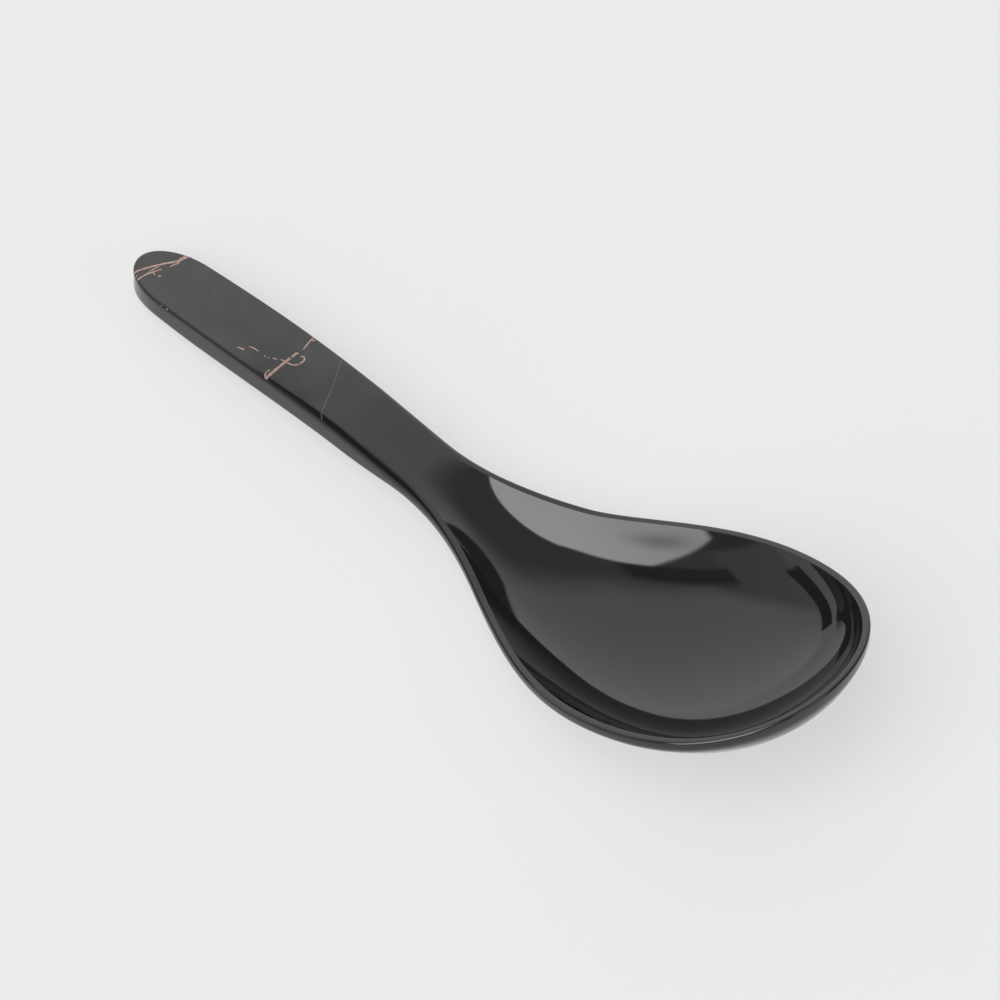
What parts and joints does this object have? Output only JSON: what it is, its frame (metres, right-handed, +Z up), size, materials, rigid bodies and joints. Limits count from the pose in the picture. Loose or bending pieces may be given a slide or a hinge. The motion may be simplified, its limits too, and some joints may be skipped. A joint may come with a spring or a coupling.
{
  "type": "serving spoon",
  "caption": "Black moulded serving spoon with a deep oval bowl, a curved neck and a flat handle that carries a marble-pattern foil with rose-gold veins.",
  "frame": {"origin": "on the table, under the middle of the spoon's box, with the spoon resting on the flat under its bowl and on its handle tip", "axes": "+X from the handle tip to the bowl tip, +Y across the spoon, +Z up out of the bowl"},
  "size_m": [0.23, 0.073, 0.0423],
  "materials": {
    "moulding": "polished black melamine",
    "printed_foil": "satin black marble print under a clear glaze",
    "rose_gold_ink": "pale rose-gold metallic ink under the glaze",
    "pale_ink": "thin grey ink under the glaze"
  },
  "bodies": {
    "root": {"spoon_body": "moulding", "decal_foil": "printed_foil", "tip_veins": "rose_gold_ink", "loop_vein": "rose_gold_ink", "vein_flecks": "rose_gold_ink", "hairline_vein": "pale_ink"}
  },
  "joints": []
}
